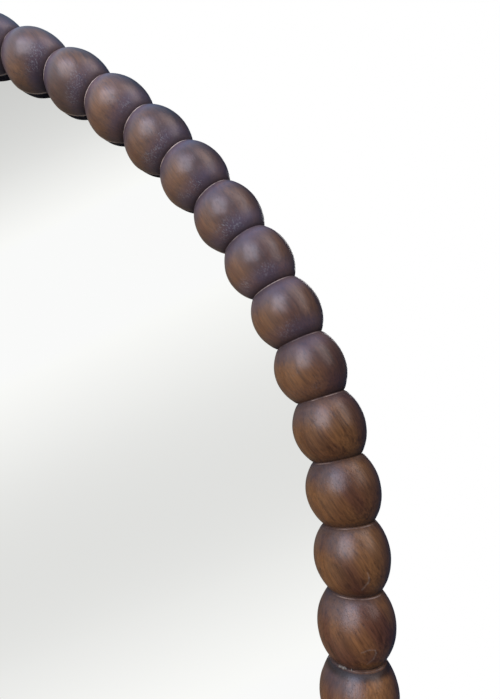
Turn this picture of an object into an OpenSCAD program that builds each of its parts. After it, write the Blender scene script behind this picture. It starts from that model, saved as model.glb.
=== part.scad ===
// Arched wall mirror with a frame of carved wooden beads.
// The front faces -Y and the top is +Z. The wall is the plane y = 0, and the origin lies on it,
// on the centre line, level with the two wall hooks.

/* [Overall] */
// Overall width over the beads
frame_w = 762; // [640:2:900]
// Overall height over the beads
frame_h = 1016; // [860:2:1300]
// Height of the arch's spring line above the wall hooks
hook_drop = 60; // [54:1:62]

/* [Beads] */
// Diameter of a bead
bead_d = 40; // [37:0.5:42]
// Diameter of the neck between two beads
neck_d = 27.2; // [26:0.1:29]
// Length of one bead along the chain, before it is fitted to whole numbers of beads
bead_pitch = 33.3; // [31:0.1:36]
// Depth of wood behind the beads' axis, down to their flat back
flat_depth = 8.3; // [6.5:0.1:9]
// Beads that each arch segment carries below the spring line
straight_bead_count = 1; // [1:1:1]
// Open line left at a glued joint of two wood segments
joint_gap = 0.2; // [0.1:0.05:0.4]

/* [Dowels] */
// Diameter of the dowels
dowel_d = 8; // [6:0.5:9]
// Length of the dowels at the apex and at the seams
dowel_l = 38; // [30:1:44]
// Length of the dowels in the two corner mitres
corner_dowel_l = 24; // [18:1:26]
// How far the dowels lie in front of the beads' axis
dowel_forward = 2; // [1:0.5:4]
// Gap round a dowel in its hole
dowel_clear = 0.05; // [0.02:0.01:0.1]
// Spare depth at the end of a dowel's or a screw's hole
hole_end_gap = 1; // [0.5:0.5:2]
// Chamfer at the ends of a dowel
dowel_chamfer = 1; // [0.5:0.25:1.5]

/* [Glass] */
// Thickness of the mirror glass
glass_t = 4; // [3:0.5:5]
// How far the necks of the frame lap over the edge of the glass
glass_lap = 5; // [4:0.25:6]
// Corner radius of the glass
glass_corner_r = 8; // [5:1:14]
// Gap between the front of the glass and the flat back of the beads
glass_drop = 0.2; // [0.1:0.05:0.5]
// Gap round the glass in its rebate
rebate_clear = 0.8; // [0.5:0.1:1.2]
// How far the rim behind the beads lies inside the necks' flat back
rim_inset = 1.5; // [1:0.1:2]

/* [Back panel] */
// Thickness of the back panel
panel_t = 6; // [5:0.5:9]
// How far the panel's edge lies inside the rim's
panel_inset = 0.5; // [0.3:0.1:1.5]
// Corner radius of the rim and the panel
panel_corner_r = 4; // [2:1:6]

/* [Tape] */
// Thickness of the double-sided foam tape
tape_t = 1; // [0.8:0.1:1.6]
// Width of the tape
tape_w = 19; // [12:1:25]
// Distance between two strips of tape
tape_spacing = 130; // [100:5:150]
// Distance from the ends of the tape to the edge of the glass
tape_margin = 40; // [25:1:60]
// Strips of tape on each side of the middle one
tape_side_strips = 2; // [1:1:2]

/* [Panel screws] */
// Diameter of a wood screw's shank
screw_d = 4; // [3.5:0.5:4.5]
// Length of a panel screw
panel_screw_l = 25; // [22:1:28]
// Diameter of a panel screw's countersunk head
panel_head_d = 8; // [7:0.5:8.5]
// Height of a panel screw's countersunk head
panel_head_h = 2.4; // [2:0.1:3]
// Gap round a screw in the wood and in the panel
screw_clear = 0.1; // [0.05:0.05:0.2]
// Width of the cross recess in a screw head
recess_w = 1.2; // [1:0.1:1.4]
// Length of the cross recess in a screw head
recess_l = 4.2; // [3.5:0.1:4.6]
// Depth of the cross recess in a screw head
recess_depth = 1.2; // [0.8:0.1:1.5]
// Beads from one panel screw to the next
screw_step_count = 4; // [3:1:5]
// Beads from the spring line up to the first panel screw
arch_lead_count = 2; // [1:1:3]
// Beads from the spring line down to the first panel screw
leg_lead_count = 5; // [5:1:6]

/* [Hangers] */
// Width of a hanger strap
strap_w = 14; // [12:0.5:15]
// Thickness of the strap
strap_t = 1.2; // [1:0.1:1.5]
// Distance from the ring's bar to the first strap screw
strap_screw_first = 22; // [21:0.5:24]
// Distance between the two strap screws
strap_screw_spacing = 12; // [11:0.5:14]
// Length of a strap screw under its head
strap_screw_l = 25; // [22:1:28]
// Diameter of a strap screw's pan head
strap_head_d = 7.6; // [7:0.1:8]
// Height of a strap screw's pan head
strap_head_h = 2.2; // [1.8:0.1:2.6]
// Diameter of the ring's wire
wire_d = 3; // [2.6:0.1:3.2]
// Width of the ring between the middles of its two sides
ring_w = 20; // [19:0.5:22]
// Straight length of the ring's two sides
ring_side_l = 5; // [4:0.5:6]
// Gap round the ring's bar in the strap's eye
eye_clear = 0.08; // [0.05:0.01:0.1]
// Gap between the hanging ring and the strap
ring_gap = 0.45; // [0.4:0.05:0.7]

/* [Bumpers] */
// Thickness of a wall bumper, which holds the panel off the wall
bumper_t = 6.5; // [6.2:0.1:8]
// Diameter of a bumper where it is stuck on
bumper_d = 16; // [12:1:20]
// Diameter of a bumper's face on the wall
bumper_face_d = 13; // [9:1:13]
// Distance of the bumpers from the frame's centre line
bumper_inset = 26; // [20:1:40]
// Height of the upper bumpers round the arch, as an angle from the spring line
bumper_angle = 52; // [45:1:60]

/* [Hidden] */

// Centre lines of the frame
arch_r = (frame_w - bead_d) / 2;
leg_l = frame_h - frame_w / 2 - bead_d / 2;
spring_z = hook_drop;
corner_z = spring_z - leg_l;

// Beads fitted to the arch, the legs and the bottom rail
quarter_beads = round(90 / (2 * asin(bead_pitch / 2 / arch_r)));
bead_angle = 90 / quarter_beads;
leg_bead_count = round(leg_l / bead_pitch - 0.5);
leg_pitch = leg_l / (leg_bead_count + 0.5);
arch_pitch = 2 * arch_r * sin(bead_angle / 2);
rail_beads = round(2 * arch_r / bead_pitch);
rail_pitch = 2 * arch_r / rail_beads;
seam_z = spring_z - straight_bead_count * leg_pitch;
// Each bead runs on into the next past their shared neck, as far as the bend of the arch needs
bead_overlap = neck_d * tan(bead_angle / 2);

// Depths from the wall to the front
panel_rear_y = -bumper_t;
rim_rear_y = panel_rear_y - panel_t;
rim_depth = glass_drop + glass_t + tape_t;
flat_y = rim_rear_y - rim_depth;
bead_y = flat_y - flat_depth;

// Widths measured from the frame's centre line: the flat back is narrowest at the necks
neck_flat = sqrt(pow(neck_d / 2, 2) - pow(flat_depth, 2));
rim_out = neck_flat - rim_inset;
panel_out = rim_out - panel_inset;
glass_in = neck_flat - glass_lap;
rim_in = glass_in - rebate_clear;
rebate_corner_r = glass_corner_r + rebate_clear;
// Middle of the rim, where the screws go
band_out = (rim_out - rim_in) / 2;

// Ring and strap
eye_r = wire_d / 2 + eye_clear;
eye_outer_r = eye_r + strap_t;
ring_lift = strap_t + ring_gap + wire_d / 2;
ring_y = panel_rear_y + ring_lift;
ring_arc_r = ring_w / 2;
ring_reach = ring_side_l + ring_arc_r - wire_d / 2;
ring_z = -ring_reach;
strap_x = arch_r + band_out;
strap_end = strap_screw_first + strap_screw_spacing;

// Larger than any part of the frame, for cutting along a plane
cut = 2 * frame_h;

// One carved bead on the Z axis
module bead(pitch) {
    half = pitch / 2;
    sag = (bead_d - neck_d) / 2;
    curve_r = (half * half + sag * sag) / (2 * sag);
    rotate_extrude($fn = 72)
        intersection() {
            translate([bead_d / 2 - curve_r, 0]) circle(r = curve_r, $fn = 128);
            translate([0, -half - bead_overlap]) square([bead_d, pitch + 2 * bead_overlap]);
        }
}

// Everything behind the flat back of the beads
module behind_flat() {
    translate([-cut / 2, flat_y, -cut / 2]) cube(cut);
}

// Everything past the mitre of the lower right corner, seen from the leg
module past_corner() {
    translate([arch_r, 0, corner_z])
        rotate([0, 45, 0])
            translate([-cut / 2, -cut / 2, -cut]) cube(cut);
}

// Everything above the mitre of the lower right corner, seen from the rail
module above_corner() {
    translate([arch_r, 0, corner_z])
        rotate([0, 45, 0])
            translate([-cut / 2, -cut / 2, 0]) cube(cut);
}

// Beads beside the apex that get no panel screw, because the dowel lies in them
apex_dowel_beads = ceil((dowel_l / 2 + hole_end_gap + screw_d) / arch_pitch);

// Where the panel screws go, on the right half: arch, then leg
function side_screw_points() = concat(
    [for (i = [arch_lead_count : screw_step_count : quarter_beads - 1 - apex_dowel_beads])
        let (a = (i + 0.5) * bead_angle)
        [(arch_r + band_out) * cos(a), spring_z + (arch_r + band_out) * sin(a)]],
    [for (i = [leg_lead_count : screw_step_count : leg_bead_count - 1])
        [arch_r + band_out, spring_z - (i + 0.5) * leg_pitch]]
);

rail_screws_each_side = floor((rail_beads / 2 - 2) / screw_step_count);

// Where the panel screws go along the bottom rail
function rail_screw_points() = [
    for (i = [-rail_screws_each_side : rail_screws_each_side])
        [i * screw_step_count * rail_pitch, corner_z - band_out]
];

function mirrored(points) = [for (p = points) [-p[0], p[1]]];

panel_screw_points = concat(side_screw_points(), mirrored(side_screw_points()), rail_screw_points());

strap_screw_points = [
    for (i = [0, 1]) [strap_x, ring_z - strap_screw_first - i * strap_screw_spacing]
];

// Holes that the panel screws and the strap screws leave in the wood
module screw_holes() {
    hole_d = screw_d + 2 * screw_clear;
    tip_y = panel_rear_y - panel_screw_l - hole_end_gap;
    strap_tip_y = panel_rear_y + strap_t - strap_screw_l - hole_end_gap;
    for (p = panel_screw_points)
        translate([p[0], tip_y, p[1]])
            rotate([-90, 0, 0]) cylinder(h = -tip_y, d = hole_d, $fn = 32);
    for (p = concat(strap_screw_points, mirrored(strap_screw_points)))
        translate([p[0], strap_tip_y, p[1]])
            rotate([-90, 0, 0]) cylinder(h = -strap_tip_y, d = hole_d, $fn = 32);
}

// A dowel on the Z axis, centred on its joint
module dowel(length) {
    translate([0, 0, -length / 2]) {
        cylinder(h = dowel_chamfer, d1 = dowel_d - 2 * dowel_chamfer, d2 = dowel_d, $fn = 48);
        translate([0, 0, dowel_chamfer])
            cylinder(h = length - 2 * dowel_chamfer, d = dowel_d, $fn = 48);
        translate([0, 0, length - dowel_chamfer])
            cylinder(h = dowel_chamfer, d1 = dowel_d, d2 = dowel_d - 2 * dowel_chamfer, $fn = 48);
    }
}

module dowel_hole(length) {
    cylinder(h = length + 2 * hole_end_gap, d = dowel_d + 2 * dowel_clear, center = true, $fn = 48);
}

// Places of the joints: the apex, the seam of arch and leg, and the corner mitre, on the right
module at_apex() {
    translate([0, bead_y - dowel_forward, spring_z + arch_r]) rotate([0, 90, 0]) children();
}
module at_seam() {
    translate([arch_r, bead_y - dowel_forward, seam_z]) children();
}
module at_corner() {
    translate([arch_r, bead_y - dowel_forward, corner_z]) rotate([0, 45, 0]) children();
}

// Beads of the right leg, counted down from the spring line
module leg_beads(first, last) {
    for (i = [first : last])
        translate([arch_r, bead_y, spring_z - (i + 0.5) * leg_pitch]) bead(leg_pitch);
}

// Outline of a sheet whose edge lies inside the frame's centre line by the inset
module sheet_outline(inset, corner_r) {
    r = arch_r - inset;
    low = corner_z + inset;
    translate([0, spring_z]) circle(r = r, $fn = 256);
    translate([-r, low + corner_r]) square([2 * r, spring_z - low - corner_r]);
    translate([corner_r - r, low]) square([2 * (r - corner_r), 2 * corner_r]);
    for (side = [-1, 1])
        translate([side * (r - corner_r), low + corner_r]) circle(r = corner_r, $fn = 48);
}

// A flat sheet from its rear face towards the front
module sheet(rear_y, thickness, inset, corner_r) {
    translate([0, rear_y, 0])
        rotate([90, 0, 0]) linear_extrude(thickness) sheet_outline(inset, corner_r);
}

// Plain rim behind the beads, all round the frame: its inner step is the rebate for the glass
module rim() {
    difference() {
        sheet(rim_rear_y, rim_depth + flat_depth, -rim_out, panel_corner_r);
        translate([0, rim_depth, 0])
            sheet(rim_rear_y, 3 * rim_depth + flat_depth, rim_in, rebate_corner_r);
    }
}

// Right half of the arch, from the apex down to the seam
module arch_segment() {
    difference() {
        union() {
            difference() {
                union() {
                    for (i = [0 : quarter_beads - 1])
                        translate([0, bead_y, spring_z])
                            rotate([0, -(i + 0.5) * bead_angle, 0])
                                translate([arch_r * cos(bead_angle / 2), 0, 0]) bead(arch_pitch);
                    leg_beads(0, straight_bead_count - 1);
                }
                behind_flat();
            }
            rim();
        }
        translate([-cut + joint_gap / 2, -cut / 2, -cut / 2]) cube(cut);
        translate([-cut / 2, -cut / 2, seam_z + joint_gap / 2 - cut]) cube(cut);
        at_apex() dowel_hole(dowel_l);
        at_seam() dowel_hole(dowel_l);
        screw_holes();
    }
}

// Right leg, from the seam down to the corner mitre
module leg_segment() {
    difference() {
        union() {
            difference() {
                leg_beads(straight_bead_count, leg_bead_count);
                behind_flat();
            }
            rim();
        }
        translate([-cut, -cut / 2, -cut / 2]) cube(cut);
        translate([-cut / 2, -cut / 2, seam_z - joint_gap / 2]) cube(cut);
        translate([0, 0, joint_gap / 2]) past_corner();
        at_seam() dowel_hole(dowel_l);
        at_corner() dowel_hole(corner_dowel_l);
        screw_holes();
    }
}

// Cross recess in a screw head whose top is at the origin, with the screw pointing to -Z
module cross_recess() {
    for (turn = [0, 90])
        rotate([0, 0, turn + 45])
            translate([-recess_l / 2, -recess_w / 2, -recess_depth])
                cube([recess_l, recess_w, 2 * recess_depth]);
}

// Countersunk screw with the top of its head at the origin, pointing to -Z
module panel_screw() {
    difference() {
        union() {
            translate([0, 0, -panel_head_h])
                cylinder(h = panel_head_h, d1 = screw_d, d2 = panel_head_d, $fn = 48);
            translate([0, 0, -panel_screw_l + screw_d])
                cylinder(h = panel_screw_l - screw_d, d = screw_d, $fn = 32);
            translate([0, 0, -panel_screw_l])
                cylinder(h = screw_d, d1 = screw_d / 4, d2 = screw_d, $fn = 32);
        }
        cross_recess();
    }
}

// Pan-head screw with the underside of its head at the origin, pointing to -Z
module strap_screw() {
    difference() {
        union() {
            cylinder(h = strap_head_h / 2, d = strap_head_d, $fn = 48);
            translate([0, 0, strap_head_h / 2])
                cylinder(h = strap_head_h / 2, d1 = strap_head_d, d2 = strap_head_d * 0.7, $fn = 48);
            translate([0, 0, -strap_screw_l + screw_d])
                cylinder(h = strap_screw_l - screw_d, d = screw_d, $fn = 32);
            translate([0, 0, -strap_screw_l])
                cylinder(h = screw_d, d1 = screw_d / 4, d2 = screw_d, $fn = 32);
        }
        translate([0, 0, strap_head_h]) cross_recess();
    }
}

// Stands a piece that points to -Z on the panel's rear, pointing to the front
module on_rear(x, z, lift = 0) {
    translate([x, panel_rear_y + lift, z]) rotate([-90, 0, 0]) children();
}

// Right hanger strap: a plate on the panel with a rolled eye for the ring's bar
module hanger_strap() {
    difference() {
        union() {
            translate([strap_x - strap_w / 2, panel_rear_y, ring_z - strap_end])
                cube([strap_w, strap_t, strap_end]);
            on_rear(strap_x, ring_z - strap_end) cylinder(h = strap_t, d = strap_w, $fn = 48);
            translate([strap_x, ring_y, ring_z])
                rotate([0, 90, 0]) cylinder(h = strap_w, r = eye_outer_r, center = true, $fn = 48);
        }
        translate([strap_x, ring_y, ring_z])
            rotate([0, 90, 0]) cylinder(h = 2 * strap_w, r = eye_r, center = true, $fn = 48);
        for (p = strap_screw_points)
            on_rear(p[0], p[1], -strap_t)
                cylinder(h = 3 * strap_t, d = screw_d + 2 * screw_clear, $fn = 32);
    }
}

// Right ring, hanging straight down from its bar
module hanger_ring() {
    translate([strap_x, ring_y, ring_z]) {
        rotate([0, 90, 0]) cylinder(h = ring_w, d = wire_d, center = true, $fn = 48);
        for (side = [-1, 1])
            translate([side * ring_arc_r, 0, 0]) {
                sphere(d = wire_d, $fn = 48);
                translate([0, 0, -ring_side_l]) cylinder(h = ring_side_l, d = wire_d, $fn = 48);
            }
        translate([0, 0, -ring_side_l])
            rotate([90, 0, 0]) rotate_extrude(angle = -180, $fn = 96)
                translate([ring_arc_r, 0]) circle(d = wire_d, $fn = 48);
    }
}

module hanger_screws() {
    for (p = strap_screw_points) on_rear(p[0], p[1], strap_t) strap_screw();
}

module arch_right() { color("saddlebrown") arch_segment(); }
module arch_left() { color("saddlebrown") mirror([1, 0, 0]) arch_segment(); }
module leg_right() { color("sienna") leg_segment(); }
module leg_left() { color("sienna") mirror([1, 0, 0]) leg_segment(); }

module bottom_rail() {
    color("saddlebrown")
    difference() {
        union() {
            difference() {
                for (i = [0 : rail_beads])
                    translate([i * rail_pitch - arch_r, bead_y, corner_z])
                        rotate([0, 90, 0]) bead(rail_pitch);
                behind_flat();
            }
            rim();
        }
        for (flip = [0, 1])
            mirror([flip, 0, 0]) {
                translate([0, 0, -joint_gap / 2]) above_corner();
                at_corner() dowel_hole(corner_dowel_l);
            }
        screw_holes();
    }
}

module apex_dowel() { color("burlywood") at_apex() dowel(dowel_l); }
module seam_dowel_right() { color("burlywood") at_seam() dowel(dowel_l); }
module seam_dowel_left() { color("burlywood") mirror([1, 0, 0]) at_seam() dowel(dowel_l); }
module corner_dowel_right() { color("burlywood") at_corner() dowel(corner_dowel_l); }
module corner_dowel_left() {
    color("burlywood") mirror([1, 0, 0]) at_corner() dowel(corner_dowel_l);
}

module mirror_glass() {
    color("gainsboro")
    sheet(rim_rear_y - tape_t, glass_t, glass_in, glass_corner_r);
}

// Upright strips of tape between the glass and the back panel
module mounting_tape() {
    low = corner_z + glass_in + tape_margin;
    color("whitesmoke")
    for (i = [-tape_side_strips : tape_side_strips]) {
        reach = abs(i) * tape_spacing + tape_w / 2;
        top = spring_z + sqrt(pow(arch_r - glass_in, 2) - pow(reach, 2)) - tape_margin;
        translate([i * tape_spacing - tape_w / 2, rim_rear_y - tape_t, low])
            cube([tape_w, tape_t, top - low]);
    }
}

module back_panel() {
    color("tan")
    difference() {
        sheet(panel_rear_y, panel_t, -panel_out, panel_corner_r);
        screw_holes();
        for (p = panel_screw_points)
            on_rear(p[0], p[1], -panel_head_h)
                cylinder(h = panel_head_h + screw_clear, d1 = screw_d + 2 * screw_clear,
                         d2 = panel_head_d + 4 * screw_clear, $fn = 48);
    }
}

module panel_screws() {
    color("goldenrod")
    for (p = panel_screw_points) on_rear(p[0], p[1]) panel_screw();
}

module hanger_strap_right() { color("silver") hanger_strap(); }
module hanger_strap_left() { color("silver") mirror([1, 0, 0]) hanger_strap(); }
module hanger_ring_right() { color("silver") hanger_ring(); }
module hanger_ring_left() { color("silver") mirror([1, 0, 0]) hanger_ring(); }
module hanger_screws_right() { color("silver") hanger_screws(); }
module hanger_screws_left() { color("silver") mirror([1, 0, 0]) hanger_screws(); }

// Four rubber bumpers: two in the lower corners and two high on the arch
module wall_bumpers() {
    bumper_r = arch_r - bumper_inset;
    places = [
        [bumper_r, corner_z + bumper_inset],
        [bumper_r * cos(bumper_angle), spring_z + bumper_r * sin(bumper_angle)]
    ];
    color("dimgray")
    for (p = concat(places, mirrored(places)))
        on_rear(p[0], p[1]) cylinder(h = bumper_t, d1 = bumper_d, d2 = bumper_face_d, $fn = 48);
}

arch_left();
arch_right();
leg_left();
leg_right();
bottom_rail();
apex_dowel();
seam_dowel_left();
seam_dowel_right();
corner_dowel_left();
corner_dowel_right();
mirror_glass();
mounting_tape();
back_panel();
panel_screws();
hanger_strap_left();
hanger_strap_right();
hanger_ring_left();
hanger_ring_right();
hanger_screws_left();
hanger_screws_right();
wall_bumpers();
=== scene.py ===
# %% [markdown]
# # An arched mirror in a frame of carved beads
# This lesson dresses a mirror whose pieces were already made as solids: five wooden segments cut
# as chains of beads, a pane, a board on its back, tape, screws, two hangers and four bumpers. The
# solids give every place and size. Here the wood is modelled again with the marks of hand work,
# and every piece gets its finish.

# %% The frame of solids
import math

import bmesh
import bpy
import numpy as np
from mathutils import Matrix, Vector


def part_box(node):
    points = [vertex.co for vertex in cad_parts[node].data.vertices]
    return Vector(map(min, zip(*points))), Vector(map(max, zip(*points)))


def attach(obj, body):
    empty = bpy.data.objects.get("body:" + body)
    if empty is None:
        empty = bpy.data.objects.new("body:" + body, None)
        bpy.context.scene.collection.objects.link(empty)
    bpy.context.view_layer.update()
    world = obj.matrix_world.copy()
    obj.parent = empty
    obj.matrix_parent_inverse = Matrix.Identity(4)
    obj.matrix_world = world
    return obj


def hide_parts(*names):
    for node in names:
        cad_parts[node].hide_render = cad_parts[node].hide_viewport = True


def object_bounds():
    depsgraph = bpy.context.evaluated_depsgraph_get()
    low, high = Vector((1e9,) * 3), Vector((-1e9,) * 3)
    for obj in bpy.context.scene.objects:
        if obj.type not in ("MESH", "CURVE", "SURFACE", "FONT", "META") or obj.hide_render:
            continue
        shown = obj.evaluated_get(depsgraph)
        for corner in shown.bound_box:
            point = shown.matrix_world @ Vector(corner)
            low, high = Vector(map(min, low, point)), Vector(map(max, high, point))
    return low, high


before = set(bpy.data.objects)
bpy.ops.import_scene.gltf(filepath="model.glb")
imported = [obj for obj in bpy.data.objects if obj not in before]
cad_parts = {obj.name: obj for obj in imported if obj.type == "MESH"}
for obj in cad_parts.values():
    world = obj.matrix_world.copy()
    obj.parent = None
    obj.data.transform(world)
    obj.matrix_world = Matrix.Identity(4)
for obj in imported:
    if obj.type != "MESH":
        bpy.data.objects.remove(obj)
solid_low, solid_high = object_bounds()
print("pieces in the frame:", len(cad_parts))

# %% [markdown]
# ## Sizes
# Lengths are in metres. What the solids can tell is measured on their boxes, so that the beads
# land where the solids have them. The rest repeats the carver's own sizes.

# %% Sizes of the chain of beads
MM = 0.001
BEAD_R = 20 * MM
NECK_R = 13.6 * MM
FLAT = 8.3 * MM  # from the axis of the beads back to their flat
EDGE = 1.2 * MM  # from the axis back to the step
GAP = 0.2 * MM  # the line of glue in a joint
ARCH_BEADS = 17
LEG_BEADS = 18
RAIL_BEADS = 22
bead_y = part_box("arch_right")[0].y + BEAD_R
flat_y = bead_y + FLAT
arch_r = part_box("leg_right")[1].x - BEAD_R
corner_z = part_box("bottom_rail")[0].z + BEAD_R
seam_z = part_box("leg_right")[1].z + GAP / 2
leg_pitch = (seam_z - corner_z) / (LEG_BEADS - 0.5)
spring_z = seam_z + leg_pitch
rail_pitch = 2 * arch_r / RAIL_BEADS
turn = math.radians(90 / ARCH_BEADS)
arch_pitch = 2 * arch_r * math.sin(turn / 2)
for name, size in (("arch radius", arch_r), ("spring line", spring_z), ("leg pitch", leg_pitch),
                   ("rail pitch", rail_pitch), ("arch pitch", arch_pitch), ("bead axis", bead_y)):
    print(f"{name}: {size / MM:.2f} mm")

# %% [markdown]
# ## Camera
# The picture looks up along the right side of the arch from close by, with a wide lens, the way a
# phone is held. Its place comes from fitting the row of beads in perspective.

# %% Camera
camera_data = bpy.data.cameras.new("camera")
camera_data.sensor_width = 36
camera_data.lens = 23.78
camera_data.clip_start = 0.01
camera = bpy.data.objects.new("camera", camera_data)
bpy.context.scene.collection.objects.link(camera)
right = Vector((0.99449, 0.10313, -0.01887))
down = Vector((-0.03101, 0.11739, -0.9926))
ahead = Vector((-0.10015, 0.98772, 0.11994))
camera.matrix_world = Matrix.Translation((0.3348, -0.2833, 0.1549)) @ Matrix(
    (right, -down, -ahead)).transposed().to_4x4()
bpy.context.scene.camera = camera
print("camera stands at", [round(x, 3) for x in camera.location])

# %% [markdown]
# ## Tools for modelling
# Edit-mode operators act on what is selected, so each step first picks its vertices or faces by
# their place. These helpers keep that short.

# %% Helpers for edit mode
bpy.ops.object.select_all(action="DESELECT")


def edit(piece):
    bpy.ops.object.select_all(action="DESELECT")
    bpy.context.view_layer.objects.active = piece
    piece.select_set(True)
    bpy.ops.object.mode_set(mode="EDIT")


def done():
    bpy.ops.object.mode_set(mode="OBJECT")


def pick(piece, test, faces=False):
    """Selects the vertices, or the faces by their middle, where test(place) is true."""
    bpy.context.tool_settings.mesh_select_mode = (not faces, False, faces)
    bpy.ops.mesh.select_all(action="DESELECT")
    mesh = bmesh.from_edit_mesh(piece.data)
    chosen = [x for x in (mesh.faces if faces else mesh.verts)
              if test(x.calc_center_median() if faces else x.co)]
    for x in chosen:
        x.select_set(True)
    mesh.select_flush_mode()
    bmesh.update_edit_mesh(piece.data)
    return [x.co.copy() for x in chosen] if not faces else len(chosen)


def cut(place, normal, fill=True, keep=False):
    """Cuts the whole piece along a plane and drops what lies on the normal's side, unless kept."""
    bpy.ops.mesh.select_all(action="SELECT")
    bpy.ops.mesh.bisect(plane_co=place, plane_no=normal, use_fill=fill,
                        clear_outer=not keep, threshold=1e-6)


def outward():
    bpy.ops.mesh.select_all(action="SELECT")
    bpy.ops.mesh.normals_make_consistent(inside=False)


def finish_modifier(piece, kind, **settings):
    bpy.context.view_layer.objects.active = piece
    modifier = piece.modifiers.new(kind.lower(), kind)
    for key, value in settings.items():
        setattr(modifier, key, value)
    bpy.ops.object.modifier_apply(modifier=modifier.name)


def copy_of(piece, name, matrix=None):
    """A copy with its own mesh, placed by a matrix in its vertices."""
    twin = piece.copy()
    twin.data = piece.data.copy()
    twin.name = twin.data.name = name
    bpy.context.scene.collection.objects.link(twin)
    if matrix is not None:
        twin.data.transform(matrix)
        if matrix.determinant() < 0:
            twin.data.flip_normals()
    return twin


def joined(pieces, name, weld=0.02 * MM):
    bpy.ops.object.select_all(action="DESELECT")
    for piece in pieces:
        piece.select_set(True)
    bpy.context.view_layer.objects.active = pieces[0]
    if len(pieces) > 1:
        bpy.ops.object.join()
    whole = pieces[0]
    whole.name = whole.data.name = name
    edit(whole)
    bpy.ops.mesh.select_all(action="SELECT")
    bpy.ops.mesh.remove_doubles(threshold=weld)
    done()
    return whole


def drop(piece):
    bpy.data.objects.remove(piece)


def open_edges(piece):
    mesh = bmesh.new()
    mesh.from_mesh(piece.data)
    count = sum(len(e.link_faces) != 2 for e in mesh.edges)
    mesh.free()
    return count


# %% [markdown]
# ## One bead
# The carver turns or carves each bead round, leaves a fine ridge where the next one starts, and
# planes the back flat so that the frame lies on the glass. A profile spun round the axis gives
# the round, as on a lathe. The profile is an arc with a ridge at its upper end and a narrow
# groove at both ends. The flat is a cut, and its edge is broken by pulling the flat in a little.
# In front of it a small step runs round each bead, where the round tool stopped short of the
# back.

# %% Profile of the bead
half = arch_pitch / 2
sag = BEAD_R - NECK_R
curve_r = (half ** 2 + sag ** 2) / (2 * sag)
GROOVE_R = 13.2 * MM
bpy.ops.mesh.primitive_circle_add(vertices=104, radius=curve_r, rotation=(math.pi / 2, 0, 0),
                                  location=(BEAD_R - curve_r, 0, 0))
bead = bpy.context.object
bead.name = "bead"
bpy.ops.object.transform_apply()
edit(bead)
top, low = half - 0.9 * MM, 0.3 * MM - half
cut((0, 0, 0), (-1, 0, 0), fill=False)
cut((0, 0, top), (0, 0, 1), fill=False)
cut((0, 0, low), (0, 0, -1), fill=False)


def lengthen(end_z, path):
    place = pick(bead, lambda p: abs(p.z - end_z) < 1e-6)[0]
    for radius, z in path:
        bpy.ops.mesh.extrude_region_move(
            TRANSFORM_OT_translate={"value": (radius - place.x, 0, z - place.z)})
        place = Vector((radius, 0, z))


RIDGE_R, RIDGE_END_R = 13.9 * MM, 13.85 * MM
lengthen(top, [(RIDGE_R, half - 0.6 * MM), (RIDGE_END_R, half - 0.36 * MM),
               (GROOVE_R + 0.15 * MM, half - 0.12 * MM), (GROOVE_R, half)])
lengthen(low, [(GROOVE_R, -half)])
print("the bead's profile has", len(bmesh.from_edit_mesh(bead.data).verts), "points")

# %% Turning and flattening the bead
bpy.ops.mesh.select_all(action="SELECT")
bpy.ops.mesh.spin(steps=72, angle=2 * math.pi, center=(0, 0, 0), axis=(0, 0, 1))
bpy.ops.mesh.select_all(action="SELECT")
bpy.ops.mesh.remove_doubles(threshold=1e-6)
for end in (half, -half):
    pick(bead, lambda p: abs(p.z - end) < 1e-6)
    bpy.ops.mesh.edge_face_add()
outward()
STEP_DEPTH, BROKEN_EDGE, PULL = 0.3 * MM, 0.45 * MM, 0.98
for y in (EDGE, EDGE + STEP_DEPTH, FLAT - BROKEN_EDGE):
    cut((0, y, 0), (0, 1, 0), fill=False, keep=True)
cut((0, FLAT, 0), (0, 1, 0))
for y in (EDGE + 0.2 * MM, FLAT - 1e-6):
    pick(bead, lambda p: p.y > y)
    bpy.ops.transform.resize(value=(PULL, 1, 1))
pick(bead, lambda p: abs(abs(p.z) - half) < 1e-5, faces=True)
bpy.ops.mesh.delete(type="ONLY_FACE")
done()
print("one bead has", len(bead.data.polygons), "faces")

# %% [markdown]
# ## The chains
# On the arch each bead is a slight wedge, longer outside than inside, so that neighbours meet on
# one plane through the arch's centre. A lattice squeezes it to that wedge, and an array turns
# copies of it round the centre. The straight chains are plain arrays. Each row runs one bead past
# its joints, so that the saw finds wood on both sides.

# %% Wedge for the arch
wedge = copy_of(bead, "wedge")
bpy.ops.object.add(type="LATTICE")
cage = bpy.context.object
CAGE = 50 * MM
cage.scale = (CAGE,) * 3
for way in "uvw":
    setattr(cage.data, "interpolation_type_" + way, "KEY_LINEAR")
for point in cage.data.points:
    point.co_deform.z = point.co.z * (1 + point.co.x * CAGE * math.tan(turn / 2) / half)
bpy.context.view_layer.update()
finish_modifier(wedge, "LATTICE", object=cage)
drop(cage)

# %% Rows of beads
def row(name, piece, count, place, offset=None, about=None):
    """Copies of piece in a row: shifted by offset, or turned about the arch's centre."""
    first = copy_of(piece, name, place)
    guide = None
    if about is not None:
        guide = bpy.data.objects.new("guide", None)
        bpy.context.scene.collection.objects.link(guide)
        guide.matrix_world = about
        bpy.context.view_layer.update()
    finish_modifier(first, "ARRAY", count=count, use_relative_offset=False,
                    use_constant_offset=offset is not None, use_object_offset=about is not None,
                    constant_offset_displace=offset or (0, 0, 0), offset_object=guide,
                    use_merge_vertices=True, merge_threshold=0.02 * MM)
    if guide:
        drop(guide)
    return first


def moved(x, z, pitch=arch_pitch):
    return Matrix.Translation((x, bead_y, z)) @ Matrix.Diagonal((1, 1, pitch / arch_pitch, 1))


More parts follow.
